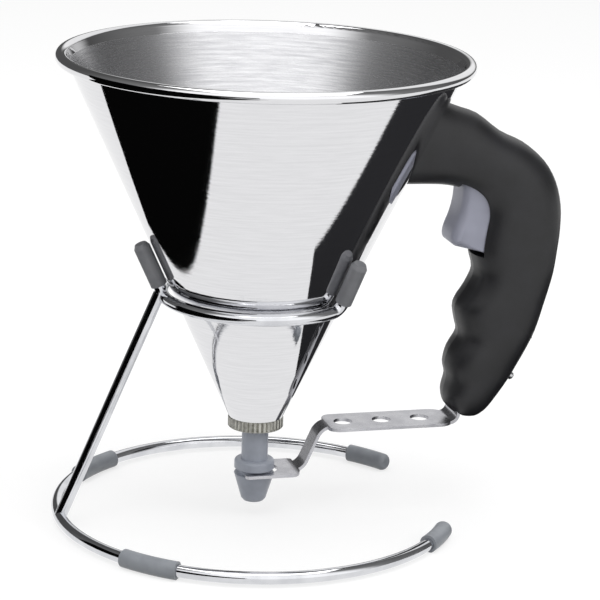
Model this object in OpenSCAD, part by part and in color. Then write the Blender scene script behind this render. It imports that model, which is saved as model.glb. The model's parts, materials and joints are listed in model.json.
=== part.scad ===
// Batter dispenser: a steel funnel with a pistol handle, standing in a wire stand.
// The trigger in the handle pushes a stamped lever down, and the lever's fork draws
// the nozzle sleeve down off its plug, so that batter runs out of the spout.
// +X runs from the spout to the handle, +Z is up, and the stand's feet rest on Z = 0.

/* [Funnel] */
// Outer diameter over the rolled rim
rim_d = 150; // [135:0.5:165]
// Height of the rim's top above the table
rim_top_z = 173.6; // [168:0.2:185]
// Thickness of the rolled rim
bead_d = 4.2; // [3:0.1:5]
// How far the sheet meets the rim inside the middle of its roll
rim_tuck = 1.4; // [1:0.1:1.6]
// Thickness of the funnel's sheet
sheet_t = 0.8; // [0.6:0.1:1.2]
// Outer diameter of the cone's lower end
tip_d = 20.3; // [19:0.1:23]
// Height of the cone's lower end
tip_z = 38.5; // [36:0.5:42]

/* [Outlet] */
// Height of the neck that shows under the cone and takes the thread
neck_thread_h = 2.1; // [1.6:0.1:3]
// Bore of the neck
neck_bore_d = 9; // [7:0.5:11]
// Height of the neck's collar inside the cone
neck_collar_h = 4.5; // [3:0.5:7]
// Outer diameter of the ring nut
nut_d = 20.5; // [19.5:0.1:22]
// Thickness of the ring nut's wall around the thread
nut_wall = 1.85; // [1.5:0.05:2.2]
// Ribs around the ring nut
nut_ribs = 36; // [24:1:48]
// Depth of the grooves between the ribs
nut_groove = 0.45; // [0.2:0.05:0.6]
// Thickness of the ring nut's lip
nut_lip_t = 0.8; // [0.6:0.1:1.5]
// Thickness of the flat seal above the spout tube
gasket_t = 0.5; // [0.4:0.1:1]
// Thickness of the spout tube's flange
flange_t = 0.75; // [0.6:0.05:1.5]
// Outer diameter of the spout tube
tube_d = 9.8; // [9:0.1:10.6]
// Bore of the spout tube
tube_bore_d = 7.2; // [6:0.1:7.6]
// Height of the spout tube's closed lower end
tube_end_z = 11.2; // [11:0.1:12.4]
// Length of the narrow lower part of the spout tube
tube_waist_h = 4.2; // [3.6:0.1:4.4]
// Outer diameter of the narrow lower part
tube_waist_d = 8; // [7.4:0.1:8.4]
// Bore of the narrow lower part, which holds the plug
tube_waist_bore_d = 5.6; // [5:0.1:5.8]
// Width of the two side ports
port_w = 4.2; // [3.5:0.1:4.8]

/* [Nozzle] */
// Outer diameter of the nozzle sleeve's collar
sleeve_d = 14.9; // [14:0.1:16]
// Height of the sleeve's top when it is closed
sleeve_top_z = 21.5; // [20.8:0.1:23]
// Height of the collar above the groove
collar_h = 3.8; // [3.4:0.1:4.5]
// Height of the sleeve's outlet when it is closed
outlet_z = 5.4; // [4.8:0.1:6]
// Outer diameter of the sleeve's lower end
outlet_end_d = 9.3; // [9:0.1:10]
// Bore of the outlet
outlet_d = 6.4; // [5.6:0.1:6.8]
// Height of the straight outlet below its seat
outlet_h = 3.4; // [3:0.1:3.8]
// Outer diameter of the groove's core
groove_core_d = 11.8; // [11.6:0.1:12.4]
// Running gap between the sleeve and the spout tube
slide_gap = 0.05; // [0.02:0.01:0.1]
// Thickness of the sealing ring in the collar
seal_d = 1.3; // [1:0.1:1.5]

/* [Lever] */
// Thickness of the lever's strip
strip_t = 1.2; // [1:0.1:1.5]
// Width of the strip
strip_w = 18; // [16:0.5:20]
// Width of the tongue inside the handle
tongue_w = 14; // [10:0.5:15]
// Height of the top of the lever's upper run
run_top_z = 34; // [32:0.1:34.1]
// Where the strip's lower bend lies, out from the spout's axis
rise_start_x = 17.4; // [16:0.1:18.5]
// Where the strip's upper bend lies
rise_end_x = 24.7; // [23.5:0.1:26]
// Width of the strip where it rises
neck_w = 8.6; // [7:0.1:12]
// Bend radius of the strip, along its middle
bend_r = 6; // [4:0.5:8]
// Bend radius where the strip turns up
turn_r = 3.4; // [2.6:0.1:3.8]
// Diameter of the three holes
hole_d = 7; // [5:0.1:9]
// Distance between the holes
hole_pitch = 15; // [12:0.5:17]
// Where the first hole lies
hole_x = 33.7; // [32:0.1:36]
// How far the fork's tips reach past the spout's axis
fork_reach = 5; // [4:0.5:7]
// Where the fork's slot has the middle of its round end
slot_x = 2.6; // [2:0.1:4]
// How far the lever and the nozzle travel
travel = 4.5; // [3:0.1:4.8]

/* [Trigger] */
// Width of the trigger
trigger_w = 16; // [12:0.5:16]
// Diameter of the trigger's pin
pin_d = 3; // [2.5:0.1:3.5]
// Radius of the trigger's boss around the pin
boss_r = 5; // [4:0.1:5.4]
// How far the trigger turns, in degrees
pull_angle = 12; // [8:0.5:12]
// Radius of the trigger's nose, which pushes the slider
nose_r = 2.2; // [1.6:0.1:2.4]

/* [Handle] */
// How far the handle's back stands out from the funnel's wall
handle_reach = 56.5; // [54:0.5:60]
// Width of the handle
handle_w = 26.8; // [26:0.1:29]
// Inset of the handle's hollow from its outline
shell_inset = 4.4; // [4:0.1:5]
// Diameter of the handle screws
screw_d = 2.9; // [2.5:0.1:3.2]
// Diameter of the screw heads
screw_head_d = 5.6; // [5:0.1:6]
// Diameter of the posts around the screws
post_d = 7; // [6.4:0.1:8]
// Diameter of the peg at the grip's back
peg_d = 3; // [2:0.1:3.4]
// Length of the peg that stands out
peg_out = 3.2; // [1:0.1:4]
// Thickness of the bracket's web
web_t = 2; // [1.5:0.1:2.5]

/* [Return spring] */
// Diameter of the spring's coil, along the middle of its wire
coil_d = 6.2; // [5:0.1:7]
// Thickness of the spring's wire
coil_wire_d = 0.9; // [0.7:0.1:1]
// Turns of the spring
coil_turns = 7; // [5:1:8]

/* [Stand] */
// Diameter of the stand's wire
wire_d = 4.5; // [3.5:0.1:5]
// Radius of the base ring, along the middle of its wire
base_r = 72.9; // [70:0.1:78]
// Diameter of the foot sleeves and the end caps
foot_d = 6.6; // [6:0.1:8]
// How far the feet are flattened where they rest
foot_flat = 0.25; // [0.1:0.05:0.4]
// Where a foot sleeve's middle lies, in degrees from the leg
foot_angle = 46.2; // [40:0.1:50]
// Length of a foot sleeve
foot_len = 22; // [18:0.5:28]
// Where an end cap's middle lies, in degrees from the handle
cap_angle = 37; // [34:0.1:45]
// Length of an end cap, with its round end
cap_len = 18; // [12:0.5:22]
// Height of the cradle ring
cradle_z = 85; // [82:0.5:90]
// Where the two front prongs turn up, in degrees from the handle
prong_angle = 57; // [50:1:65]
// Radius of the bend from the cradle ring into a prong
prong_bend_r = 4; // [3.5:0.1:5]
// Diameter of the prong sleeves
prong_sleeve_d = 6.1; // [5.8:0.1:6.6]
// Length of a prong sleeve
prong_sleeve_len = 17; // [12:0.5:20]
// Bend radius where the leg turns into its prong
leg_bend_r = 4; // [3.5:0.5:5]
// Gap between the funnel and the prong sleeves
rest_gap = 0.3; // [0.3:0.05:0.5]

/* [Hidden] */
$fn = 96;
eps = 0.01;

// Clearances that the fits share
fit_gap = 0.05;    // a piece set tight in or on another
part_gap = 0.3;    // between pieces that move past each other
side_gap = 0.4;    // beside the trigger, the tongue and the slider

// The cone's outer wall
rim_r = rim_d / 2;
bead_r = bead_d / 2;
bead_z = rim_top_z - bead_r;
cone_top_r = rim_r - bead_r - rim_tuck;
cone_slope = (cone_top_r - tip_d / 2) / (bead_z - tip_z);
cone_angle = atan(cone_slope);
sheet_x = sheet_t / cos(cone_angle);
function cone_x(z) = tip_d / 2 + (z - tip_z) * cone_slope;

// Outer diameter of the neck's thread, inside the nut
thread_d = nut_d - 2 * nut_wall;

// Heights of the outlet's pieces, from the neck down
neck_z = tip_z - neck_thread_h;
gasket_z = neck_z - gasket_t;
flange_z = gasket_z - flange_t;
nut_z = flange_z - nut_lip_t;
flange_d = thread_d - 1;
waist_z = tube_end_z + tube_waist_h;
port_h = tube_waist_h - 1.6;
groove_h = strip_t + 2 * part_gap;
groove_top_z = sleeve_top_z - collar_h;
groove_z = groove_top_z - groove_h;
sleeve_bore_r = tube_d / 2 + slide_gap;
seat_z = outlet_z + outlet_h;
seat_top_z = seat_z + (sleeve_bore_r - outlet_d / 2);
fork_z = groove_z + part_gap + strip_t / 2;
run_z = run_top_z - strip_t / 2;

// The slot of the fork
slot_r = groove_core_d / 2 + part_gap;

// The handle is drawn in plain numbers, X out from the spout and Z up. The drawing is set
// out from the funnel's wall at the arm and from the lever's run: drawn_from is where these
// lie in the drawing, and drawn_to is where the handle's back and the funnel's rim lie.
drawn_from = [57.918, 33.4];
drawn_to = [114.418, 173.6];
wall_x = cone_x(run_z + (rim_top_z - run_z) * 0.775);
function hx(x) = wall_x + (x - drawn_from[0]) * handle_reach / (drawn_to[0] - drawn_from[0]);
function hz(z) = run_z + (z - drawn_from[1]) * (rim_top_z - run_z) / (drawn_to[1] - drawn_from[1]);
function at_handle(p) = [hx(p[0]), hz(p[1])];
turn_x = hx(76.9);
pivot_x = hx(79);
pivot_z = hz(131);
spring_x = hx(94);
spring_z = hz(70);

// The handle's stations, from the cone along the arm and down the grip: each gives the
// place of its outer edge (x, z), of its inner edge (x, z), and half its width
handle_stations = [
    [57, 160, 44, 124.9, 11.4],
    [70.5, 154, 60, 124.8, 12],
    [80, 150.6, 68.5, 124.3, 12.3],
    [89.4, 143.8, 75, 122.8, 12.6],
    [98.6, 139.4, 79.6, 120, 12.9],
    [106.3, 133.2, 81.8, 116.6, 13.1],
    [111.4, 125.2, 82.4, 112.5, 13.3],
    [114, 116, 81.6, 108.2, 13.4],
    [114.4, 107, 80.8, 103.4, 13.4],
    [113.8, 99, 80.6, 98, 13.4],
    [112.7, 91, 82.3, 91, 13.4],
    [111.3, 84.5, 79.7, 84.5, 13.3],
    [109.7, 78, 75.6, 78, 13.2],
    [108, 72, 76.2, 72, 13],
    [106, 66.5, 77.3, 66.5, 12.8],
    [103.2, 60.5, 73.9, 60.5, 12.6],
    [100.2, 55, 72.6, 55, 12.3],
    [97.3, 50, 73.6, 50, 12],
    [93.6, 44.5, 72.5, 44.5, 11.6],
    [90.7, 40.7, 73, 40.7, 11.1],
    [88, 37.9, 74.4, 38.1, 10.2],
    [85.4, 36.2, 76.5, 36.4, 8.6],
    [83.4, 35.4, 79.2, 35.5, 5]
];
handle_steps = 3;       // rings from one station to the next
handle_corner = 2.5;    // how square a section is: 2 is an ellipse
handle_points = 12;     // points around half a section
cavity_from = 0;        // the hollow's first station and its last
cavity_to = 19;

// A smooth curve through points of any length, with so many steps from one to the next
function curve_at(p, i, t) =
    let (n = len(p) - 1, a = p[max(i - 1, 0)], b = p[i], c = p[i + 1], d = p[min(i + 2, n)])
    0.5 * (2 * b + (c - a) * t + (2 * a - 5 * b + 4 * c - d) * t * t
        + (3 * b - a - 3 * c + d) * t * t * t);
function curve(p, steps) = concat(
    [for (i = [0 : len(p) - 2], s = [0 : steps - 1]) curve_at(p, i, s / steps)],
    [p[len(p) - 1]]);
drawn_w = 2 * max([for (s = handle_stations) s[4]]);
stations = [for (s = handle_stations)
    [hx(s[0]), hz(s[1]), hx(s[2]), hz(s[3]), s[4] * handle_w / drawn_w]];
handle_rings = curve(stations, handle_steps);
handle_back_x = max([for (s = handle_rings) s[0]]);

// The part's origin is under the middle of its outline
left_x = -max(rim_r, base_r + wire_d / 2);
frame_x = (left_x + handle_back_x) / 2;

// Turns a point of the XZ plane about the trigger's pin, as the trigger does
function pulled(p, angle) =
    let (x = p[0] - pivot_x, z = p[1] - pivot_z)
    [pivot_x + x * cos(angle) - z * sin(angle), pivot_z + x * sin(angle) + z * cos(angle)];

// The trigger's nose, and where it ends up as seen from the slider
nose = at_handle([86.2, 104]);
nose_end = pulled(nose, pull_angle) + [0, travel];
ramp_way = (nose_end - nose) / norm(nose_end - nose);
ramp_normal = [ramp_way[1], -ramp_way[0]];
ramp_gap = part_gap + 0.05;
ramp_foot = nose + ramp_normal * (nose_r + ramp_gap) - ramp_way * 1.6;
ramp_head = nose_end + ramp_normal * (nose_r + ramp_gap) + ramp_way * 2.2;

// The tongue's line inside the handle, and the slider at its upper end
tongue_low_z = hz(41);
tongue_lean_z = hz(89);
tongue_top_z = hz(99.4);
tongue_x = hx(88.3);
slider_front_x = tongue_x + strip_t / 2 + fit_gap;
slider_back_x = hx(99);
slider_low_z = hz(89.6);
slider_w = 12;
rivet_d = 2.4;
rivet_head_d = 4;
rivet_head_t = 0.7;
rivet_zs = [hz(92.2), hz(97)];

// Places of the handle screws in the XZ plane
screw_places = [for (p = [[64, 141], [90.5, 134.6], [104.4, 116], [87.6, 47.5]]) at_handle(p)];
cavity_y = trigger_w / 2 + side_gap;
screw_head_y = cavity_y + 0.8;    // where a screw's head seats in the far shell
screw_head_t = 1.6;
screw_tip_y = -cavity_y - 0.2;
pin_end_y = cavity_y + 2;

// The stand's wire lies on a cone of its own, outside the funnel's
foot_r = foot_d / 2;
wire_r = wire_d / 2;
foot_z = foot_r - foot_flat;
// The wire draws out a trifle at each bend, so that each length starts inside the last
draw = 0.04;
lap = 2;
lap_len = 0.15;
prong_off = (prong_sleeve_d / 2 + rest_gap) / cos(cone_angle);
function prong_x(z) = cone_x(z) + prong_off;
cradle_r = prong_x(cradle_z);
prong_way = [sin(cone_angle), cos(cone_angle)];
prong_sleeve_from = prong_bend_r + 0.2;
prong_end = prong_sleeve_from + prong_sleeve_len - 1.6;
// The leg's line meets its prong's line a little above the cradle ring
leg_top_z = cradle_z + 3;
leg_top = [prong_x(leg_top_z), leg_top_z];
leg_foot = [base_r, foot_z];
leg_way = (leg_top - leg_foot) / norm(leg_top - leg_foot);
leg_turn = acos(leg_way * prong_way);

module at_frame() {
    translate([-frame_x, 0, 0]) children();
}

// Stands a profile drawn in X and Z upright, as wide along Y as it is told
module slab(width) {
    translate([0, width / 2, 0]) rotate([90, 0, 0]) linear_extrude(height = width) children();
}

// A cylinder along Y between two places
module rod_y(place, from_y, to_y, d) {
    translate([place[0], from_y, place[1]]) rotate([-90, 0, 0])
        cylinder(h = to_y - from_y, d = d);
}

// The cone as a solid, thicker all round by so much square to its wall
module cone_solid(grow) {
    more = grow / cos(cone_angle);
    translate([0, 0, tip_z])
        cylinder(h = bead_z - tip_z, r1 = cone_x(tip_z) + more, r2 = cone_x(bead_z) + more);
}

// Part of a ring of wire: from one angle to another, about Z
module wire_arc(ring_r, d, from_angle, to_angle) {
    rotate([0, 0, from_angle]) rotate_extrude(angle = to_angle - from_angle)
        translate([ring_r, 0]) circle(d = d);
}

// ---- the stand ----

module base_ring() {
    color("silver") at_frame() translate([0, 0, foot_z])
        wire_arc(base_r, wire_d, cap_wire_angle, 360 - cap_wire_angle);
}

// The wire ends inside its caps, short of their round ends
cap_half = cap_len / 2 / base_r * 180 / PI;
cap_round = 2;
cap_tip_angle = cap_angle - cap_half + cap_round / base_r * 180 / PI;
cap_wire_angle = cap_tip_angle + 0.6;

module foot_sleeve(middle) {
    half = foot_len / 2 / base_r * 180 / PI;
    color("slategray") at_frame() difference() {
        translate([0, 0, foot_z]) wire_arc(base_r, foot_d, middle - half, middle + half);
        translate([0, 0, foot_z])
            wire_arc(base_r, wire_d + 2 * fit_gap, middle - half - 1, middle + half + 1);
        translate([-2 * base_r, -2 * base_r, -foot_d])
            cube([4 * base_r, 4 * base_r, foot_d]);
    }
}
module foot_sleeve_front() { foot_sleeve(180 + foot_angle); }
module foot_sleeve_back() { foot_sleeve(180 - foot_angle); }

module end_cap(side) {
    color("slategray") at_frame() mirror([0, side < 0 ? 1 : 0, 0]) difference() {
        translate([0, 0, foot_z]) union() {
            wire_arc(base_r, foot_d, cap_tip_angle, cap_angle + cap_half);
            rotate([0, 0, cap_tip_angle]) translate([base_r, 0, 0]) rotate([90, 0, 0])
                rotate_extrude() intersection() {
                    union() {
                        square([foot_r - cap_round, cap_round]);
                        translate([foot_r - cap_round, 0]) circle(r = cap_round);
                    }
                    square([foot_r, cap_round]);
                }
        }
        translate([0, 0, foot_z])
            wire_arc(base_r, wire_d + 2 * fit_gap, cap_wire_angle - 0.2, cap_angle + cap_half + 2);
        translate([-2 * base_r, -2 * base_r, -foot_d])
            cube([4 * base_r, 4 * base_r, foot_d]);
    }
}
module end_cap_front() { end_cap(-1); }
module end_cap_back() { end_cap(1); }

// The leg leans in from the base ring, bends, and runs up the cone as the third prong.
// It is drawn in the plane of the leg with X outwards, and then turned to the left.
leg_cut = leg_bend_r * tan(leg_turn / 2);
leg_len = norm(leg_top - leg_foot) - leg_cut;
leg_lean = atan2(leg_way[0], leg_way[1]);
leg_prong_len = prong_end + (cradle_z - leg_top_z) / cos(cone_angle) - leg_cut;
bend_start = leg_top - leg_way * leg_cut;
module leg_wire() {
    color("silver") at_frame() rotate([0, 0, 180]) difference() {
        union() {
            translate([leg_foot[0], 0, leg_foot[1]]) rotate([0, leg_lean, 0])
                cylinder(h = leg_len, d = wire_d);
            translate([bend_start[0], 0, bend_start[1]]) rotate([0, leg_lean, 0])
                translate([leg_bend_r, 0, 0]) rotate([90, 0, 180])
                    rotate([0, 0, -lap]) rotate_extrude(angle = leg_turn + 2 * lap)
                        translate([leg_bend_r, 0]) circle(d = wire_d - draw);
            translate([leg_top[0], 0, leg_top[1]]) rotate([0, cone_angle, 0])
                translate([0, 0, leg_cut - lap_len])
                    cylinder(h = leg_prong_len + lap_len, d = wire_d - 2 * draw);
        }
        translate([0, 0, foot_z]) rotate_extrude() translate([base_r, 0]) circle(d = wire_d);
    }
}

// The frame of a front prong: its origin on the cradle ring where the bend starts,
// Z up along the cone, Y back along the ring and X outwards
module at_prong(side) {
    mirror([0, side < 0 ? 1 : 0, 0]) rotate([0, 0, prong_angle]) translate([cradle_r, 0, cradle_z])
        rotate([0, cone_angle, 0]) children();
}

module cradle_prong() {
    translate([0, 0, prong_bend_r]) rotate([0, 90, 0]) rotate([0, 0, -90 - lap])
        rotate_extrude(angle = 90 + 2 * lap)
            translate([prong_bend_r, 0]) circle(d = wire_d - draw);
    translate([0, -prong_bend_r, prong_bend_r - lap_len])
        cylinder(h = prong_end - prong_bend_r + lap_len, d = wire_d - 2 * draw);
}

module cradle_ring() {
    color("silver") at_frame() difference() {
        union() {
            translate([0, 0, cradle_z])
                wire_arc(cradle_r, wire_d, prong_angle, 360 - prong_angle);
            at_prong(1) cradle_prong();
            at_prong(-1) cradle_prong();
        }
        rotate([0, 0, 180]) translate([leg_foot[0], 0, leg_foot[1]]) rotate([0, leg_lean, 0])
            cylinder(h = leg_len + leg_bend_r, d = wire_d);
    }
}

// A prong's sleeve is a tube with a rounded upper end, closed over the wire's end
module prong_sleeve(from_z) {
    sleeve_r = prong_sleeve_d / 2;
    bore_r = wire_r + fit_gap;
    top_z = from_z + prong_sleeve_len;
    color("dimgray") rotate_extrude() polygon([
        [bore_r, from_z],
        [sleeve_r, from_z],
        [sleeve_r, top_z - sleeve_r / 2],
        [sleeve_r * 0.72, top_z],
        [0, top_z],
        [0, prong_end + fit_gap],
        [bore_r, prong_end + fit_gap]
    ]);
}
module prong_sleeve_front() {
    at_frame() at_prong(-1) translate([0, -prong_bend_r, 0]) prong_sleeve(prong_sleeve_from);
}
module prong_sleeve_back() {
    at_frame() at_prong(1) translate([0, -prong_bend_r, 0]) prong_sleeve(prong_sleeve_from);
}
module prong_sleeve_leg() {
    at_frame() rotate([0, 0, 180]) translate([cradle_r, 0, cradle_z])
        rotate([0, cone_angle, 0]) prong_sleeve(leg_sleeve_from);
}
leg_sleeve_from = max(prong_sleeve_from,
    (leg_top_z - cradle_z) / cos(cone_angle) + leg_cut + 0.2);

// ---- the funnel and its outlet ----

module funnel_cone() {
    top_z = bead_z + bead_r * sin(cone_angle);
    color("gainsboro") at_frame() rotate_extrude() union() {
        polygon([
            [cone_x(tip_z) - sheet_x, tip_z],
            [cone_x(tip_z), tip_z],
            [cone_x(top_z), top_z],
            [cone_x(top_z) - sheet_x, top_z]
        ]);
        translate([rim_r - bead_r, bead_z]) circle(r = bead_r);
    }
}

// The neck is welded into the cone's lower end: a collar lies against the inside wall
module outlet_neck() {
    top_z = tip_z + neck_collar_h;
    color("silver") at_frame() rotate_extrude() polygon([
        [neck_bore_d / 2, neck_z],
        [thread_d / 2, neck_z],
        [thread_d / 2, tip_z],
        [cone_x(tip_z) - sheet_x - fit_gap, tip_z],
        [cone_x(top_z) - sheet_x - fit_gap, top_z],
        [neck_bore_d / 2, tip_z + 0.8]
    ]);
}

module ring_nut() {
    groove_r = nut_d / 2;
    color("gray") at_frame() difference() {
        rotate_extrude() polygon([
            [tube_d / 2 + 2 * fit_gap, nut_z],
            [nut_d / 2 - 0.3, nut_z],
            [nut_d / 2, nut_z + 0.3],
            [nut_d / 2, tip_z - 0.3 - fit_gap],
            [nut_d / 2 - 0.3, tip_z - fit_gap],
            [thread_d / 2 + fit_gap, tip_z - fit_gap],
            [thread_d / 2 + fit_gap, flange_z],
            [tube_d / 2 + 2 * fit_gap, flange_z]
        ]);
        for (i = [0 : nut_ribs - 1]) rotate([0, 0, i * 360 / nut_ribs])
            translate([groove_r, 0, nut_z + 0.45])
                cylinder(h = tip_z - nut_z, r = nut_groove, $fn = 4);
    }
}

module spout_gasket() {
    color("dimgray") at_frame() translate([0, 0, gasket_z]) difference() {
        cylinder(h = gasket_t, d = flange_d);
        translate([0, 0, -1]) cylinder(h = gasket_t + 2, d = neck_bore_d);
    }
}

// The spout tube hangs from its flange. Batter leaves it by two ports above the plug.
module spout_tube() {
    color("lightslategray") at_frame() difference() {
        rotate_extrude() polygon([
            [tube_bore_d / 2, gasket_z],
            [flange_d / 2, gasket_z],
            [flange_d / 2, flange_z],
            [tube_d / 2, flange_z],
            [tube_d / 2, waist_z],
            [tube_waist_d / 2, waist_z - (tube_d - tube_waist_d) / 2],
            [tube_waist_d / 2, tube_end_z],
            [tube_waist_bore_d / 2, tube_end_z],
            [tube_waist_bore_d / 2, waist_z],
            [tube_bore_d / 2, waist_z + 1]
        ]);
        translate([-tube_d, -port_w / 2, waist_z - 0.4 - port_h]) cube([2 * tube_d, port_w, port_h]);
    }
}

// The plug is pressed into the tube's lower end and closes the sleeve's seat
module spout_plug() {
    plug_top_z = tube_end_z - fit_gap;
    plug_low_z = seat_z + part_gap * 1.5;
    head_r = min(tube_waist_d / 2, outlet_d / 2 + (plug_top_z - seat_z) - part_gap * sqrt(2));
    low_r = max(outlet_d / 2 + (plug_low_z - seat_z) - part_gap * sqrt(2) - 0.05, 1);
    color("dimgray") at_frame() union() {
        translate([0, 0, plug_low_z]) cylinder(h = plug_top_z - plug_low_z, r1 = low_r, r2 = head_r);
        translate([0, 0, plug_top_z - eps])
            cylinder(h = 1.4, d = tube_waist_bore_d - 2 * fit_gap);
    }
}

module nozzle_sleeve() {
    core_r = groove_core_d / 2;
    edge = 0.8;
    brow = 1.1;
    color("lightslategray") at_frame() rotate_extrude() difference() {
        union() {
            polygon([
                [outlet_d / 2, outlet_z],
                [outlet_end_d / 2 - edge, outlet_z],
                [outlet_end_d / 2, outlet_z + edge * 1.2],
                [sleeve_d / 2, groove_z],
                [core_r, groove_z],
                [core_r, groove_top_z],
                [sleeve_d / 2 - 0.4, groove_top_z],
                [sleeve_d / 2, groove_top_z + 0.4],
                [sleeve_d / 2, sleeve_top_z - brow],
                for (a = [15 : 15 : 90]) [sleeve_d / 2 - brow + brow * cos(a),
                    sleeve_top_z - brow + brow * sin(a)],
                [sleeve_bore_r, sleeve_top_z],
                [sleeve_bore_r, seat_top_z],
                [outlet_d / 2, seat_z]
            ]);
        }
        translate([seal_r, seal_z]) circle(r = seal_d / 2 + fit_gap);
    }
}
seal_z = sleeve_top_z - collar_h / 2;
seal_r = sleeve_bore_r + seal_d / 2 + fit_gap / 2;

module nozzle_seal() {
    color("black") at_frame() translate([0, 0, seal_z]) rotate_extrude()
        translate([seal_r, 0]) circle(d = seal_d);
}

// ---- the lever ----

// The points of one side of a strip's bend: p0, p1 and p2 are corners of its middle line,
// r is the bend's radius along the middle, and off is how far the side lies to the left
bend_steps = 6;
function unit(v) = v / norm(v);
function left_of(v) = [-v[1], v[0]];
function bend_side(p0, p1, p2, r, off) =
    let (
        a = unit(p1 - p0), b = unit(p2 - p1),
        turn = atan2(a[0] * b[1] - a[1] * b[0], a * b),
        side = turn > 0 ? 1 : -1,
        start = p1 - a * r * tan(abs(turn) / 2),
        middle = start + left_of(a) * r * side
    )
    [for (i = [0 : bend_steps])
        let (angle = turn * i / bend_steps,
            out = [a[0] * cos(angle) - a[1] * sin(angle), a[0] * sin(angle) + a[1] * cos(angle)])
        middle - left_of(out) * (r * side - off)];

blade_line = [
    [-fork_reach, fork_z], [rise_start_x, fork_z], [rise_end_x, run_z], [turn_x, run_z],
    [turn_x, tongue_low_z], [tongue_x, tongue_lean_z], [tongue_x, tongue_top_z]
];
blade_bends = [bend_r, bend_r, turn_r, 6, 6];
function strip_side(line, bends, off) =
    let (n = len(line) - 1)
    concat(
        [line[0] + left_of(unit(line[1] - line[0])) * off],
        [for (i = [1 : n - 1]) each
            bend_side(line[i - 1], line[i], line[i + 1], bends[i - 1], off)],
        [line[n] + left_of(unit(line[n] - line[n - 1])) * off]);
function backwards(p) = [for (i = [len(p) - 1 : -1 : 0]) p[i]];

// A flat plate from one X to another, with its own corner radius at each end
module plate(from_x, to_x, w, from_r, to_r) {
    inner_r = max(from_r, to_r);
    translate([from_x, -w / 2 + inner_r]) square([to_x - from_x, w - 2 * inner_r]);
    translate([from_x + from_r, -w / 2]) square([to_x - from_x - from_r - to_r, w]);
    for (s = [-1, 1]) {
        translate([from_x + from_r, s * (w / 2 - from_r)]) circle(r = from_r);
        translate([to_x - to_r, s * (w / 2 - to_r)]) circle(r = to_r);
        y0 = s > 0 ? w / 2 - inner_r - eps : -w / 2 + from_r;
        translate([from_x, y0]) square([from_r + eps, inner_r - from_r + eps]);
        y1 = s > 0 ? w / 2 - inner_r - eps : -w / 2 + to_r;
        translate([to_x - to_r - eps, y1]) square([to_r + eps, inner_r - to_r + eps]);
    }
}

module blade() {
    tip_r = (strip_w / 2 - slot_r) / 2;
    neck_from_x = rise_start_x - bend_r / 4;
    neck_to_x = rise_end_x + 0.7 + bend_r / 4;
    color("silver") at_frame() difference() {
        intersection() {
            slab(strip_w + 2) polygon(concat(
                strip_side(blade_line, blade_bends, strip_t / 2),
                backwards(strip_side(blade_line, blade_bends, -strip_t / 2))));
            translate([0, 0, -1]) linear_extrude(height = tongue_top_z + 10) union() {
                plate(-fork_reach, neck_from_x, strip_w, tip_r, 3);
                translate([neck_from_x - 3, -neck_w / 2])
                    square([neck_to_x - neck_from_x + 6, neck_w]);
                plate(neck_to_x, turn_x - 1.5, strip_w, 4, 6);
                translate([turn_x - 8, -tongue_w / 2])
                    square([tongue_x - turn_x + 12, tongue_w]);
            }
        }
        translate([slot_x, 0, fork_z - strip_t]) cylinder(h = 2 * strip_t, r = slot_r);
        translate([-fork_reach - 5, -slot_r, fork_z - strip_t])
            cube([fork_reach + 5 + slot_x, 2 * slot_r, 2 * strip_t]);
        for (i = [0 : 2])
            translate([hole_x + i * hole_pitch, 0, run_z - strip_t])
                cylinder(h = 2 * strip_t, d = hole_d);
        for (z = rivet_zs) translate([tongue_x - 3, 0, z]) rotate([0, 90, 0])
            cylinder(h = 6, d = rivet_d + 2 * fit_gap);
    }
}

module blade_slider() {
    spigot_d = coil_d - coil_wire_d - 0.8;
    color("lightslategray") at_frame() difference() {
        union() {
            slab(slider_w) polygon([
                [slider_front_x, slider_low_z],
                [slider_back_x, slider_low_z],
                [slider_back_x, ramp_head[1]],
                ramp_head,
                ramp_foot,
                [slider_front_x, ramp_foot[1] - 1.2]
            ]);
            translate([spring_x, 0, slider_low_z - 2]) cylinder(h = 2 + eps, d = spigot_d);
        }
        for (z = rivet_zs) translate([slider_front_x - 1, 0, z]) rotate([0, 90, 0])
            cylinder(h = slider_back_x - slider_front_x + 2, d = rivet_d + 2 * fit_gap);
    }
}

module slider_rivets() {
    front_x = tongue_x - strip_t / 2 - fit_gap;
    color("gray") at_frame() for (z = rivet_zs) translate([0, 0, z]) rotate([0, 90, 0]) {
        translate([0, 0, front_x - rivet_head_t]) cylinder(h = rivet_head_t, d = rivet_head_d);
        translate([0, 0, front_x - eps])
            cylinder(h = slider_back_x - front_x - 0.2, d = rivet_d);
    }
}

// ---- the handle ----

// One ring of the handle's half, from its inner edge round the side to its outer edge
function power(v, e) = sign(v) * pow(abs(v), e);
function half_ring(s, side) =
    let (
        outer = [s[0], s[1]], inner = [s[2], s[3]],
        middle = (outer + inner) / 2, reach = (outer - inner) / 2
    )
    [for (i = [0 : handle_points])
        let (
            a = 180 * i / handle_points,
            along = -power(cos(a), 2 / handle_corner),
            p = middle + reach * along
        )
        [p[0], side * s[4] * power(sin(a), 2 / handle_corner), p[1]]];

// Half of the handle as a closed solid, on one side of the middle plane
module handle_half(side) {
    n = handle_points + 1;
    rings = len(handle_rings);
    points = [for (s = handle_rings) each half_ring(s, side)];
    sides = [for (k = [0 : rings - 2], i = [0 : n - 1])
        let (a = k * n + i, b = k * n + (i + 1) % n, c = a + n, d = b + n)
        each [[a, b, d], [a, d, c]]];
    ends = [[for (i = [0 : n - 1]) n - 1 - i], [for (i = [0 : n - 1]) (rings - 1) * n + i]];
    faces = concat(sides, ends);
    polyhedron(points, side > 0 ? [for (f = faces) backwards(f)] : faces);
}

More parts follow.
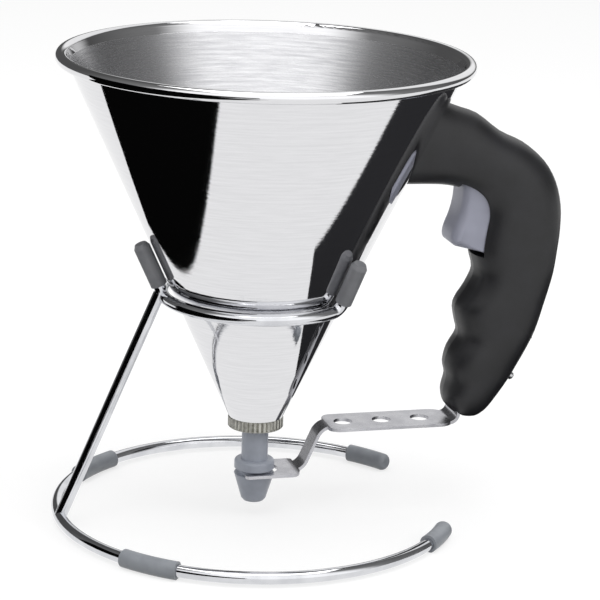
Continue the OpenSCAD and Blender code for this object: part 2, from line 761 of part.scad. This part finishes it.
// The outline of the handle's hollow, as a polygon in X and Z
function cavity_side(share) = [for (k = [cavity_from * handle_steps : cavity_to * handle_steps - 1])
    let (
        s = (handle_rings[k] + handle_rings[k + 1]) / 2,
        outer = [s[0], s[1]], inner = [s[2], s[3]]
    )
    share > 0 ? outer + unit(inner - outer) * shell_inset
        : inner + unit(outer - inner) * shell_inset];

module handle_cavity() {
    slab(2 * cavity_y) polygon(concat(cavity_side(0), backwards(cavity_side(1))));
    // the trigger's way in through the arm's underside and the inner corner
    slab(2 * cavity_y) polygon([for (p = [
        [73.2, 118], [73.2, 134], [91, 134], [91, 97.6], [74, 97.6], [74, 104]
    ]) at_handle(p)]);
    // the tongue's slot through the grip's lower end
    translate([turn_x - strip_t / 2 - side_gap, -tongue_w / 2 - side_gap, run_z])
        cube([strip_t + 2 * side_gap + 1.2, tongue_w + 2 * side_gap, hz(46) - run_z]);
}

module handle_inner(side) {
    post_end = web_t / 2 + fit_gap;
    wall_y = cavity_y + 1;
    // posts around the screws
    for (i = [0 : len(screw_places) - 1]) {
        end = i < 2 ? post_end : 0;
        if (side < 0) rod_y(screw_places[i], -wall_y, -end, post_d);
        else rod_y(screw_places[i], end, wall_y, post_d);
    }
    // the rib behind the slider and the shelf under the spring
    rib_w = 5;
    rib_y = side < 0 ? -wall_y : wall_y - rib_w;
    rib_x = slider_back_x + side_gap;
    translate([rib_x, rib_y, hz(86)]) cube([hx(108.4) - rib_x, rib_w, hz(106) - hz(86)]);
    shelf_y = side < 0 ? -wall_y : 0;
    shelf_x = spring_x - coil_d / 2 - 1.5;
    translate([shelf_x, shelf_y, spring_z - 4]) cube([hx(103.4) - shelf_x, wall_y, 3]);
}

module handle_shell(side) {
    color("dimgray") at_frame() difference() {
        union() {
            difference() {
                handle_half(side);
                handle_cavity();
            }
            handle_inner(side);
        }
        cone_solid(2 * fit_gap);    // the saddle
        for (p = screw_places) {
            rod_y(p, screw_tip_y - 0.4, screw_head_y + 10, screw_d + 2 * fit_gap);
            rod_y(p, screw_head_y, screw_head_y + 10, screw_head_d + 2 * fit_gap);
        }
        rod_y([pivot_x, pivot_z], -pin_end_y - 0.2, pin_end_y + 0.2, pin_d + 2 * fit_gap);
        at_peg() translate([0, 0, -peg_in - 0.2]) cylinder(h = peg_in + 5, d = peg_d + 2 * fit_gap);
    }
}
module handle_shell_front() { handle_shell(-1); }
module handle_shell_back() { handle_shell(1); }

module handle_screws() {
    color("silver") at_frame() for (p = screw_places) {
        rod_y(p, screw_tip_y, screw_head_y + eps, screw_d);
        difference() {
            rod_y(p, screw_head_y, screw_head_y + screw_head_t, screw_head_d);
            translate([p[0] - screw_head_d, screw_head_y + screw_head_t - 0.7, p[1] - 0.4])
                cube([2 * screw_head_d, 2, 0.8]);
        }
    }
}

// The peg stands square to the grip's back
peg_at = 17;    // the handle station where it lies
peg_in = 4;
peg_run = stations[peg_at + 1] - stations[peg_at - 1];
module at_peg() {
    s = stations[peg_at];
    translate([s[0], 0, s[1]]) rotate([0, 90 + atan2(-peg_run[0], -peg_run[1]), 0]) children();
}
module grip_peg() {
    color("lightgray") at_frame() at_peg() translate([0, 0, -peg_in]) union() {
        cylinder(h = peg_in + peg_out - 0.5, d = peg_d);
        translate([0, 0, peg_in + peg_out - 0.5 - eps]) cylinder(h = 0.5, d1 = peg_d, d2 = peg_d - 1);
    }
}

// The bracket's plate is welded to the cone, and its web takes the two front screws
module handle_bracket() {
    plate_low = hz(132);
    plate_high = hz(151);
    plate_t = 1.5;
    plate_w = 2 * cavity_y - 2;
    color("silver") at_frame() difference() {
        union() {
            intersection() {
                difference() {
                    cone_solid(fit_gap + plate_t);
                    cone_solid(fit_gap);
                }
                translate([wall_x - 28, -plate_w / 2, plate_low])
                    cube([50, plate_w, plate_high - plate_low]);
            }
            difference() {
                slab(web_t) polygon([for (p = [
                    [40, 134.5], [66, 136.8], [85, 136.8], [87.4, 131.6], [92.4, 131.6],
                    [93.6, 134.4], [91.5, 137], [76, 145.4], [66, 148.4], [40, 149.5]
                ]) at_handle(p)]);
                cone_solid(fit_gap);
            }
        }
        for (i = [0, 1]) rod_y(screw_places[i], -web_t, web_t, screw_d + 2 * fit_gap);
    }
}

// ---- the trigger and its spring ----

// The finger's face is hollow, with a lip below it
module trigger() {
    face = curve([for (p = [[74.9, 130], [74.5, 121], [74, 116.4], [72.9, 112], [71.5, 108.4],
        [70.8, 105.4], [71.1, 103], [72.7, 101.7]]) at_handle(p)], 3);
    color("lightslategray") at_frame() difference() {
        union() {
            slab(trigger_w) polygon(concat(face, [
                at_handle([82.4, 99.4]),
                at_handle([83.6, 99.6]),
                nose + [1.2, -nose_r + 0.3],
                nose + [nose_r, 0.6],
                at_handle([86.8, 113]),
                at_handle([86.4, 122]),
                at_handle([84, 131.2])
            ]));
            rod_y([pivot_x, pivot_z], -trigger_w / 2, trigger_w / 2, 2 * boss_r);
            rod_y(nose, -trigger_w / 2, trigger_w / 2, 2 * nose_r);
        }
        rod_y([pivot_x, pivot_z], -trigger_w, trigger_w, pin_d + 2 * fit_gap);
    }
}

module trigger_pin() {
    color("silver") at_frame() rod_y([pivot_x, pivot_z], -pin_end_y, pin_end_y, pin_d);
}

// A spring wound as one unbroken tube
spring_h = slider_low_z - spring_z - 2 * fit_gap;
coil_steps = 8;
coil_sides = 6;
coil_rings = coil_turns * coil_steps;
coil_rise = spring_h - coil_wire_d;
function coil_point(k, j) =
    let (
        a = 360 * k / coil_steps, b = 360 * j / coil_sides,
        lean = atan2(coil_rise, PI * coil_d * coil_turns),
        out = coil_d / 2 + coil_wire_d / 2 * cos(b),
        up = coil_wire_d / 2 * sin(b)
    )
    [out * cos(a) + up * sin(lean) * sin(a), out * sin(a) - up * sin(lean) * cos(a),
        coil_rise * k / coil_rings + up * cos(lean)];
module return_spring() {
    n = coil_sides;
    points = [for (k = [0 : coil_rings], j = [0 : n - 1]) coil_point(k, j)];
    tube = [for (k = [0 : coil_rings - 1], j = [0 : n - 1])
        let (a = k * n + j, b = k * n + (j + 1) % n, c = a + n, d = b + n)
        each [[a, c, d], [a, d, b]]];
    ends = [[for (j = [0 : n - 1]) j], [for (j = [n - 1 : -1 : 0]) coil_rings * n + j]];
    color("silver") at_frame() translate([spring_x, 0, spring_z + fit_gap + coil_wire_d / 2])
        polyhedron(points, concat(tube, ends));
}

// The seat's spigot holds the spring's lower end
module spring_seat() {
    color("silver") at_frame() translate([spring_x, 0, spring_z - 1 + fit_gap / 2]) union() {
        cylinder(h = 1 - fit_gap, d = coil_d + coil_wire_d + 1);
        cylinder(h = 3.2, d = coil_d - coil_wire_d - 0.8);
    }
}

base_ring();
leg_wire();
cradle_ring();
foot_sleeve_front();
foot_sleeve_back();
end_cap_front();
end_cap_back();
prong_sleeve_leg();
prong_sleeve_front();
prong_sleeve_back();
funnel_cone();
outlet_neck();
ring_nut();
spout_gasket();
spout_tube();
spout_plug();
nozzle_sleeve();
nozzle_seal();
blade();
blade_slider();
slider_rivets();
handle_bracket();
handle_shell_front();
handle_shell_back();
handle_screws();
grip_peg();
trigger();
trigger_pin();
return_spring();
spring_seat();
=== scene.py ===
import json
import math
import bmesh
import bpy
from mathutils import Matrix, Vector


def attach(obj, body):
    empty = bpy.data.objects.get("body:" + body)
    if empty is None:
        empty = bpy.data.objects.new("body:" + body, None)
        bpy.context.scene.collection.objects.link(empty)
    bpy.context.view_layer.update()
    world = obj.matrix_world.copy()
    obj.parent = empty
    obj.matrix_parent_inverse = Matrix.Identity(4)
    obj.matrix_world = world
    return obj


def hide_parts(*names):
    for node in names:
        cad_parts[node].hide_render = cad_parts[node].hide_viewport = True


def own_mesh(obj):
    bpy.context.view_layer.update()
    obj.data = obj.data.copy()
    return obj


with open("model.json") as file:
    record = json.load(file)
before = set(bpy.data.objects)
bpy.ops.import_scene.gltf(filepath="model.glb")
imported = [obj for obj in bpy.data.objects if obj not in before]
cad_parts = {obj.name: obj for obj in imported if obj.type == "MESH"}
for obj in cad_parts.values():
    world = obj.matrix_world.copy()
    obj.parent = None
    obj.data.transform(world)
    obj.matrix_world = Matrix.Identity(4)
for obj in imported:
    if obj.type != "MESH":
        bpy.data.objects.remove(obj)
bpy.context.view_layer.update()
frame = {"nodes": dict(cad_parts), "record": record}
nodes = frame["nodes"]
slotOf = {part["node"]: part["material_slot"] for part in frame["record"]["subparts"]}
print("frame loaded with", len(nodes), "CAD pieces")

millimetre = 0.001
spoutX = -19.636 * millimetre  # the spout's axis, seen from the part's origin

# a noise texture seldom leaves its middle values, so these are spread over the whole of a range
cloudSpan = {"From Min": 0.35, "From Max": 0.65}
grainSpan = {"From Min": 0.3, "From Max": 0.7}
streakSpan = {"From Min": 0.38, "From Max": 0.62}


def hexToLinear(code):
    channels = [int(code[i:i + 2], 16) / 255 for i in (1, 3, 5)]
    return [c / 12.92 if c <= 0.04045 else ((c + 0.055) / 1.055) ** 2.4 for c in channels] + [1.0]


def addNode(tree, kind, settings=None, links=None):
    node = tree.nodes.new("ShaderNode" + kind)
    for name, value in (settings or {}).items():
        if isinstance(name, int) or name in node.inputs:
            node.inputs[name].default_value = value
        else:
            setattr(node, name, value)
    for name, source in (links or {}).items():
        tree.links.new(source, node.inputs[name])
    return node


def emptyTree(block):
    # the node tree of a new material or world, with nothing in it
    block.use_nodes = True
    block.node_tree.nodes.clear()
    return block.node_tree


def startMaterial(name, surface):
    material = bpy.data.materials.new(name)
    tree = emptyTree(material)
    shader = addNode(tree, "BsdfPrincipled", surface)
    addNode(tree, "OutputMaterial", None, {"Surface": shader.outputs["BSDF"]})
    place = addNode(tree, "TexCoord").outputs["Object"]
    return material, tree, shader, place


def finishMaterial(tree, shader, colour, rough, normal):
    tree.links.new(colour, shader.inputs["Base Color"])
    tree.links.new(rough, shader.inputs["Roughness"])
    tree.links.new(normal, shader.inputs["Normal"])


def makeFinish(name, look):
    # two patterns: a slow cloud in the colour, and a fine grain in roughness and relief
    surface = {"Metallic": look["metallic"]}
    if "ior" in look:
        surface["IOR"] = look["ior"]
    material, tree, shader, place = startMaterial(name, surface)
    cloudScale = 1 / (look["cloudMm"] * millimetre)
    cloud = addNode(tree, "TexNoise", {"Scale": cloudScale, "Detail": 2.0},
                    {"Vector": place}).outputs["Fac"]
    drawn = addNode(tree, "Mapping", {"Scale": look["stretch"]},
                    {"Vector": place}).outputs["Vector"]
    grainScale = 1 / (look["grainMm"] * millimetre)
    grain = addNode(tree, "TexNoise", {"Scale": grainScale, "Detail": 3.0, "Roughness": 0.6},
                    {"Vector": drawn}).outputs["Fac"]
    blend = addNode(tree, "MapRange", cloudSpan, {"Value": cloud}).outputs["Result"]
    colour = addNode(tree, "Mix", {"data_type": "RGBA", 6: hexToLinear(look["light"]),
                                   7: hexToLinear(look["dark"])}, {0: blend}).outputs[2]
    smoothest, roughest = look["rough"]
    rough = addNode(tree, "MapRange", {**grainSpan, "To Min": smoothest, "To Max": roughest},
                    {"Value": grain}).outputs["Result"]
    depth = look["depthMm"] * millimetre
    normal = addNode(tree, "Bump", {"Strength": look["relief"], "Distance": depth},
                     {"Height": grain}).outputs["Normal"]
    finishMaterial(tree, shader, colour, rough, normal)
    return material


def makeFunnelSteel(name, look):
    # one sheet with two finishes: what lies within the wall's middle line is the inside
    material, tree, shader, place = startMaterial(name, {"Metallic": 1.0})
    centred = addNode(tree, "Mapping", {"Location": (-spoutX, 0, 0)},
                      {"Vector": place}).outputs["Vector"]
    split = addNode(tree, "SeparateXYZ", None, {"Vector": centred})
    flat = addNode(tree, "Mapping", {"Scale": (1, 1, 0)}, {"Vector": centred}).outputs["Vector"]
    radius = addNode(tree, "VectorMath", {"operation": "LENGTH"}, {0: flat}).outputs["Value"]

    # the middle line is straight, so its radius follows from the height by one slope
    tipZ = look["tipMm"] * millimetre
    tipRadius = look["tipRadiusMm"] * millimetre
    rise = 100 * millimetre
    upperRadius = tipRadius + look["slope"] * rise
    wall = addNode(tree, "MapRange", {"clamp": False, "From Min": tipZ, "From Max": tipZ + rise,
                                      "To Min": tipRadius, "To Max": upperRadius},
                   {"Value": split.outputs["Z"]}).outputs["Result"]
    inner = addNode(tree, "Math", {"operation": "LESS_THAN"}, {0: radius, 1: wall}).outputs["Value"]
    below = addNode(tree, "Math", {"operation": "LESS_THAN", 1: look["rimMm"] * millimetre},
                    {0: split.outputs["Z"]}).outputs["Value"]
    inside = addNode(tree, "Math", {"operation": "MULTIPLY"}, {0: inner, 1: below}).outputs["Value"]

    # the lines run round the spout's axis, so they change with height and hardly along the turn
    height = addNode(tree, "Mapping", {"Scale": (0, 0, 1)}, {"Vector": centred}).outputs["Vector"]
    ringScale = 1 / (look["ringMm"] * millimetre)
    rings = addNode(tree, "TexNoise", {"Scale": ringScale, "Detail": 4.0, "Roughness": 0.65},
                    {"Vector": height}).outputs["Fac"]
    arcs = addNode(tree, "Mapping", {"Scale": look["strokeStretch"]},
                   {"Vector": centred}).outputs["Vector"]
    strokeScale = 1 / (look["strokeMm"] * millimetre)
    strokes = addNode(tree, "TexNoise", {"Scale": strokeScale, "Detail": 3.0, "Roughness": 0.6},
                      {"Vector": arcs}).outputs["Fac"]
    brushed = addNode(tree, "Mix", {"data_type": "FLOAT", 0: look["strokeShare"]},
                      {2: rings, 3: strokes}).outputs[0]
    streak = addNode(tree, "MapRange", streakSpan, {"Value": brushed}).outputs["Result"]

    # each side's own roughness and colour, and the mask picks between them
    roughs = []
    colours = []
    for side in (look["outside"], look["inside"]):
        smoothest, roughest = side["rough"]
        roughs.append(addNode(tree, "MapRange",
                              {**cloudSpan, "To Min": smoothest, "To Max": roughest},
                              {"Value": brushed}).outputs["Result"])
        colours.append(addNode(tree, "Mix", {"data_type": "RGBA", 6: hexToLinear(side["light"]),
                                             7: hexToLinear(side["dark"])}, {0: streak}).outputs[2])
    rough = addNode(tree, "Mix", {"data_type": "FLOAT"},
                    {0: inside, 2: roughs[0], 3: roughs[1]}).outputs[0]
    colour = addNode(tree, "Mix", {"data_type": "RGBA"},
                     {0: inside, 6: colours[0], 7: colours[1]}).outputs[2]
    depth = addNode(tree, "MapRange", {"To Min": look["outside"]["depthMm"],
                                       "To Max": look["inside"]["depthMm"]},
                    {"Value": inside}).outputs["Result"]
    relief = addNode(tree, "Math", {"operation": "MULTIPLY"},
                     {0: brushed, 1: depth}).outputs["Value"]
    normal = addNode(tree, "Bump", {"Strength": 1.0, "Distance": millimetre},
                     {"Height": relief}).outputs["Normal"]
    finishMaterial(tree, shader, colour, rough, normal)
    return material


# drawn wire under bright nickel-chrome plate: a near mirror, with slow waves left by the polishing
wirePlate = {"metallic": 1.0, "light": "#dcdde0", "dark": "#cdced2", "cloudMm": 8.0, "grainMm": 3.0,
             "stretch": (1, 1, 1), "rough": (0.05, 0.1), "relief": 0.5, "depthMm": 0.02}

# spun stainless sheet: mirror-polished outside, so it shows the table, and brushed round inside, so
# it shows soft bands. Real brushing lines are 0.1 mm apart; these are coarser, or none would show
spunSheet = {
    "tipMm": 38.5, "tipRadiusMm": 9.71, "slope": 0.461278, "rimMm": 169.6,
    "ringMm": 0.9, "strokeMm": 0.7, "strokeStretch": (0.06, 0.06, 1), "strokeShare": 0.5,
    "inside": {"rough": (0.2, 0.34), "light": "#dedee0", "dark": "#bdbdc0", "depthMm": 0.03},
    "outside": {"rough": (0.03, 0.06), "light": "#e4e4e6", "dark": "#dcdcde", "depthMm": 0.012},
}

# bead-blasted stainless of the knurled nut: an even satin grey that hardly mirrors
blastedNut = {"metallic": 1.0, "light": "#c0bfb8", "dark": "#a8a7a0", "cloudMm": 1.2,
              "grainMm": 0.3, "stretch": (1, 1, 1), "rough": (0.36, 0.5), "relief": 0.4,
              "depthMm": 0.02}

# stamped stainless strip, tumbled after stamping: a satin with fine scratches along the strip
tumbledStrip = {"metallic": 1.0, "light": "#c8c8cc", "dark": "#b8b8bd", "cloudMm": 6.0,
                "grainMm": 0.4, "stretch": (0.12, 1, 1), "rough": (0.24, 0.36), "relief": 0.3,
                "depthMm": 0.004}

# plain turned steel of the pin, the peg, the screws and the spring's seat: bright, with tool marks
turnedSteel = {"metallic": 1.0, "light": "#c9c9cb", "dark": "#b4b4b7", "cloudMm": 1.5,
               "grainMm": 0.25, "stretch": (1, 1, 1), "rough": (0.2, 0.34), "relief": 0.35,
               "depthMm": 0.01}

# cold-drawn spring wire: duller than the pins, with faint lines of the die
springWire = {"metallic": 1.0, "light": "#bcbcbe", "dark": "#a6a6a9", "cloudMm": 2.0,
              "grainMm": 0.3, "stretch": (1, 1, 1), "rough": (0.26, 0.4), "relief": 0.35,
              "depthMm": 0.01}

# ABS from a spark-eroded mould: a fine grain that breaks its shine into a soft charcoal sheen
charcoalAbs = {"metallic": 0.0, "ior": 1.5, "light": "#1f1f22", "dark": "#19191b", "cloudMm": 9.0,
               "grainMm": 0.4, "stretch": (1, 1, 1), "rough": (0.36, 0.48), "relief": 0.6,
               "depthMm": 0.02}

# ABS from a stoned mould: smoother than the handle's, with a broad soft shine
triggerAbs = {"metallic": 0.0, "ior": 1.53, "light": "#b6b8c8", "dark": "#aeb0c0", "cloudMm": 8.0,
              "grainMm": 0.5, "stretch": (1, 1, 1), "rough": (0.3, 0.4), "relief": 0.5,
              "depthMm": 0.01}

# turned acetal, satin all over, with a trace of the tool round it
turnedAcetal = {"metallic": 0.0, "ior": 1.48, "light": "#b0b5c0", "dark": "#a7acb7",
                "cloudMm": 5.0, "grainMm": 0.4, "stretch": (0.3, 0.3, 1), "rough": (0.3, 0.42),
                "relief": 0.5, "depthMm": 0.012}

# soft PVC pushed on to the wire: a satin skin with a fine leathery grain
softPvc = {"metallic": 0.0, "ior": 1.52, "light": "#969aa0", "dark": "#8c9096", "cloudMm": 6.0,
           "grainMm": 0.6, "stretch": (1, 1, 1), "rough": (0.36, 0.5), "relief": 0.6,
           "depthMm": 0.02}

# the same PVC in a darker grey
darkPvc = {"metallic": 0.0, "ior": 1.52, "light": "#8b8c90", "dark": "#808185", "cloudMm": 6.0,
           "grainMm": 0.6, "stretch": (1, 1, 1), "rough": (0.38, 0.52), "relief": 0.6,
           "depthMm": 0.02}

# moulded silicone: milky and matt
milkySilicone = {"metallic": 0.0, "ior": 1.41, "light": "#dcdcda", "dark": "#d2d2cf",
                 "cloudMm": 4.0, "grainMm": 0.4, "stretch": (1, 1, 1), "rough": (0.45, 0.57),
                 "relief": 0.5, "depthMm": 0.01}

# nitrile seal: a dull black rubber
nitrile = {"metallic": 0.0, "ior": 1.52, "light": "#1e1e1e", "dark": "#181818", "cloudMm": 3.0,
           "grainMm": 0.3, "stretch": (1, 1, 1), "rough": (0.45, 0.58), "relief": 0.5,
           "depthMm": 0.01}

finishes = {
    "stand_wire": makeFinish("chromePlatedWire", wirePlate),
    "polished_steel": makeFunnelSteel("spunStainlessSheet", spunSheet),
    "nut_steel": makeFinish("blastedStainlessNut", blastedNut),
    "lever_steel": makeFinish("tumbledStainlessStrip", tumbledStrip),
    "fastener_steel": makeFinish("turnedSteel", turnedSteel),
    "spring_steel": makeFinish("drawnSpringWire", springWire),
    "charcoal_plastic": makeFinish("charcoalAbs", charcoalAbs),
    "trigger_plastic": makeFinish("greyTriggerAbs", triggerAbs),
    "grey_plastic": makeFinish("turnedGreyAcetal", turnedAcetal),
    "grey_rubber": makeFinish("greySoftPvc", softPvc),
    "dark_rubber": makeFinish("darkSoftPvc", darkPvc),
    "white_silicone": makeFinish("mouldedSilicone", milkySilicone),
    "black_seal": makeFinish("blackNitrile", nitrile),
}
for name, piece in nodes.items():
    for slot in piece.material_slots:
        slot.material = finishes[slotOf[name]]
print("finishes made:", len(finishes))


def refine(name, body, look):
    # a merged copy of the CAD piece, smooth over its facets, with its sharp edges rounded
    mesh = nodes[name].data.copy()
    mesh.name = name + "Skin"
    work = bmesh.new()
    work.from_mesh(mesh)
    bmesh.ops.remove_doubles(work, verts=work.verts, dist=look["mergeMm"] * millimetre)
    bmesh.ops.dissolve_limit(work, angle_limit=math.radians(look["flatDeg"]), verts=work.verts,
                             edges=work.edges)
    if "softMm" in look:
        # the sharp edges that a finger meets are rounded more than the rest: those in front of
        # farX, further than sideY from the middle and below topZ
        farX, sideY, topZ = [limit * millimetre for limit in look["softWithinMm"]]
        soft = [edge for edge in work.edges if edge.calc_face_angle(0) > look["softTurnRad"]
                and all(v.co.x < farX and abs(v.co.y) > sideY and v.co.z < topZ
                        for v in edge.verts)]
        bmesh.ops.bevel(work, geom=soft, offset=look["softMm"] * millimetre, offset_type="OFFSET",
                        segments=6, profile=0.5, affect="EDGES", material=-1)
    sharpTurn = math.radians(look["edgeDeg"])
    for face in work.faces:
        face.smooth = True
    for edge in work.edges:
        edge.smooth = len(edge.link_faces) == 2 and edge.calc_face_angle(0) < sharpTurn
    work.to_mesh(mesh)
    work.free()
    if "custom_normal" in mesh.attributes:
        mesh.attributes.remove(mesh.attributes["custom_normal"])
    piece = bpy.data.objects.new(name + "Skin", mesh)
    bpy.context.scene.collection.objects.link(piece)
    if look["roundMm"]:
        bevel = piece.modifiers.new("edges", "BEVEL")
        bevel.limit_method = "ANGLE"
        bevel.angle_limit = sharpTurn
        bevel.width = look["roundMm"] * millimetre
        bevel.segments = 2
    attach(piece, body)
    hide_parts(name)
    return piece


handleLook = {"mergeMm": 0.001, "flatDeg": 0.3, "edgeDeg": 38, "roundMm": 0.25}
refine("handle_shell_front", "funnel", handleLook)
refine("handle_shell_back", "funnel", handleLook)
triggerLook = {"mergeMm": 0.001, "flatDeg": 0.3, "edgeDeg": 40, "roundMm": 0.3, "softMm": 3.2,
               "softTurnRad": 1, "softWithinMm": (63, 7.9, 129)}
refine("trigger", "trigger_lever", triggerLook)
leverLook = {"mergeMm": 0.001, "flatDeg": 0.3, "edgeDeg": 40, "roundMm": 0.15}
refine("blade", "lever", leverLook)

# the spring stands on its seat, and its refined copy gets a mesh of its own
springLook = {"mergeMm": 0.001, "flatDeg": 0.3, "edgeDeg": 60, "roundMm": 0, "travelMm": 4.5}
spring = refine("return_spring", "funnel", springLook)
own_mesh(spring)
print("handle, trigger, lever and spring finished")


def addCard(name, material, cornersMm):
    # a flat sheet that isn't part of the object
    work = bmesh.new()
    work.faces.new([work.verts.new(Vector(corner) * millimetre) for corner in cornersMm])
    bmesh.ops.recalc_face_normals(work, faces=work.faces)
    mesh = bpy.data.meshes.new(name)
    work.to_mesh(mesh)
    work.free()
    mesh.materials.append(material)
    card = bpy.data.objects.new(name, mesh)
    bpy.context.scene.collection.objects.link(card)
    return card


# the table is white paper: it takes the object's shadow, and polished metal sees it as plain white
paper = {"colour": "#a0a0a0", "lift": 0.68, "reachMm": 3000, "belowMm": 0.05}
tableMaterial = bpy.data.materials.new("whitePaper")
tree = emptyTree(tableMaterial)
diffuse = addNode(tree, "BsdfDiffuse", {"Color": hexToLinear(paper["colour"])}).outputs["BSDF"]
white = addNode(tree, "Emission", {"Color": (1, 1, 1, 1), "Strength": 1.0}).outputs["Emission"]
lift = addNode(tree, "Emission", {"Color": (1, 1, 1, 1),
                                  "Strength": paper["lift"]}).outputs["Emission"]
lifted = addNode(tree, "AddShader", None, {0: diffuse, 1: lift}).outputs["Shader"]
rays = addNode(tree, "LightPath")
mirrored = addNode(tree, "Math", {"operation": "MAXIMUM"},
                   {0: rays.outputs["Is Glossy Ray"],
                    1: rays.outputs["Is Transmission Ray"]}).outputs["Value"]
seen = addNode(tree, "MixShader", None,
               {0: rays.outputs["Is Camera Ray"], 1: diffuse, 2: lifted}).outputs["Shader"]
both = addNode(tree, "MixShader", None, {0: mirrored, 1: seen, 2: white}).outputs["Shader"]
addNode(tree, "OutputMaterial", None, {"Surface": both})
reach = paper["reachMm"]
under = -paper["belowMm"]
addCard("table", tableMaterial, [(-reach, -reach, under), (reach, -reach, under),
                                 (reach, reach, under), (-reach, reach, under)])

# black flags lie and stand beside the object, and only polished metal sees them
flags = {
    "leftFlag": {"colour": "#060606",
                 "cornersMm": [(-420, -500, 0.5), (-134, -500, 0.5), (-134, 190, 0.5),
                               (-420, 190, 0.5)]},
    "rightFlag": {"colour": "#2a2a2c",
                  "cornersMm": [(54, -84, 0.5), (420, -32, 0.5), (420, 420, 0.5),
                                (230, 420, 0.5), (200, 92, 0.5), (43, 88, 0.5)]},
    "standingFlag": {"colour": "#060606",
                     "cornersMm": [(-420, -1300, 0), (-420, 190, 0), (-420, 190, 260),
                                   (-420, -1300, 260)]},
}
for name, look in flags.items():
    velvet = bpy.data.materials.new(name + "Velvet")
    tree = emptyTree(velvet)
    dark = addNode(tree, "BsdfDiffuse", {"Color": hexToLinear(look["colour"])}).outputs["BSDF"]
    addNode(tree, "OutputMaterial", None, {"Surface": dark})
    flag = addCard(name, velvet, look["cornersMm"])
    flag.visible_camera = False
    flag.visible_diffuse = False
    flag.visible_shadow = False

# the room as polished metal sees it: a white wall behind the camera, dim sides, and the end of the
# white paper behind the object. Each reach is the cosine between a ray and the part's direction
room = {"light": 0.58, "wallTowards": (-0.216, -0.976, 0), "sideReach": (-0.6, 0.2),
        "side": (0.09, 0.22), "wallReach": (0.2, 0.62), "wall": 1.1,
        "sweepTowards": (0.497, 0.709, 0.5), "sweepReach": (0.86, 0.93), "sweep": 0.9}
world = bpy.data.worlds.new("studio")
bpy.context.scene.world = world
tree = emptyTree(world)
direction = addNode(tree, "TexCoord").outputs["Generated"]
facing = addNode(tree, "VectorMath", {"operation": "DOT_PRODUCT", 1: room["wallTowards"]},
                 {0: direction}).outputs["Value"]
side = addNode(tree, "MapRange", {"From Min": room["sideReach"][0],
                                  "From Max": room["sideReach"][1],
                                  "To Min": room["side"][0], "To Max": room["side"][1]},
               {"Value": facing}).outputs["Result"]
wall = addNode(tree, "MapRange", {"interpolation_type": "SMOOTHSTEP",
                                  "From Min": room["wallReach"][0],
                                  "From Max": room["wallReach"][1],
                                  "To Min": 0.0, "To Max": room["wall"]},
               {"Value": facing}).outputs["Result"]
rear = addNode(tree, "VectorMath", {"operation": "DOT_PRODUCT", 1: room["sweepTowards"]},
               {0: direction}).outputs["Value"]
sweep = addNode(tree, "MapRange", {"interpolation_type": "SMOOTHSTEP",
                                   "From Min": room["sweepReach"][0],
                                   "From Max": room["sweepReach"][1],
                                   "To Min": 0.0, "To Max": room["sweep"]},
                {"Value": rear}).outputs["Result"]
level = addNode(tree, "Math", {"operation": "ADD"}, {0: side, 1: wall}).outputs["Value"]
level = addNode(tree, "Math", {"operation": "ADD"}, {0: level, 1: sweep}).outputs["Value"]
rays = addNode(tree, "LightPath")
soft = addNode(tree, "Background", {"Color": (1, 1, 1, 1),
                                    "Strength": room["light"]}).outputs["Background"]
walls = addNode(tree, "Background", {"Color": (1, 1, 1, 1)},
                {"Strength": level}).outputs["Background"]
plain = addNode(tree, "Background", {"Color": (1, 1, 1, 1), "Strength": 1.0}).outputs["Background"]
inMetal = addNode(tree, "MixShader", None,
                  {0: rays.outputs["Is Glossy Ray"], 1: soft, 2: walls}).outputs["Shader"]
behind = addNode(tree, "MixShader", None,
                 {0: rays.outputs["Is Camera Ray"], 1: inMetal, 2: plain}).outputs["Shader"]
addNode(tree, "OutputWorld", None, {"Surface": behind})

# polished metal sees the top lamp alone, since the side ones would show in it as bright squares
lamps = {
    "topSoftbox": {"atMm": (0, -100, 1400), "aimMm": (0, 0, 80), "sizeMm": (1200, 1200),
                   "watts": 12, "mirrored": True},
    "leftSoftbox": {"atMm": (-1100, -700, 700), "aimMm": (0, 0, 90), "sizeMm": (800, 900),
                    "watts": 2, "mirrored": False},
    "rightSoftbox": {"atMm": (1000, -600, 800), "aimMm": (40, 0, 90), "sizeMm": (800, 900),
                     "watts": 4, "mirrored": False},
}
for name, lamp in lamps.items():
    light = bpy.data.lights.new(name, "AREA")
    light.shape = "RECTANGLE"
    light.size, light.size_y = [length * millimetre for length in lamp["sizeMm"]]
    light.energy = lamp["watts"]
    holder = bpy.data.objects.new(name, light)
    holder.location = Vector(lamp["atMm"]) * millimetre
    sight = Vector(lamp["aimMm"]) - Vector(lamp["atMm"])
    holder.rotation_euler = sight.to_track_quat("-Z", "Y").to_euler()
    holder.visible_glossy = lamp["mirrored"]
    bpy.context.scene.collection.objects.link(holder)
print("table, flags and lamps set")

view = {"placeMm": (-241.28, -845.6, 327.07), "turnDeg": (74.3889, -1.9228, -15.1274),
        "lensMm": 149.075, "sensorMm": 36, "nearMm": 10}
camera = bpy.data.cameras.new("camera")
camera.lens = view["lensMm"]
camera.sensor_width = view["sensorMm"]
camera.clip_start = view["nearMm"] * millimetre
viewer = bpy.data.objects.new("camera", camera)
viewer.location = Vector(view["placeMm"]) * millimetre
viewer.rotation_euler = [math.radians(turn) for turn in view["turnDeg"]]
bpy.context.scene.collection.objects.link(viewer)
bpy.context.scene.camera = viewer
bpy.context.scene.view_settings.view_transform = "Standard"
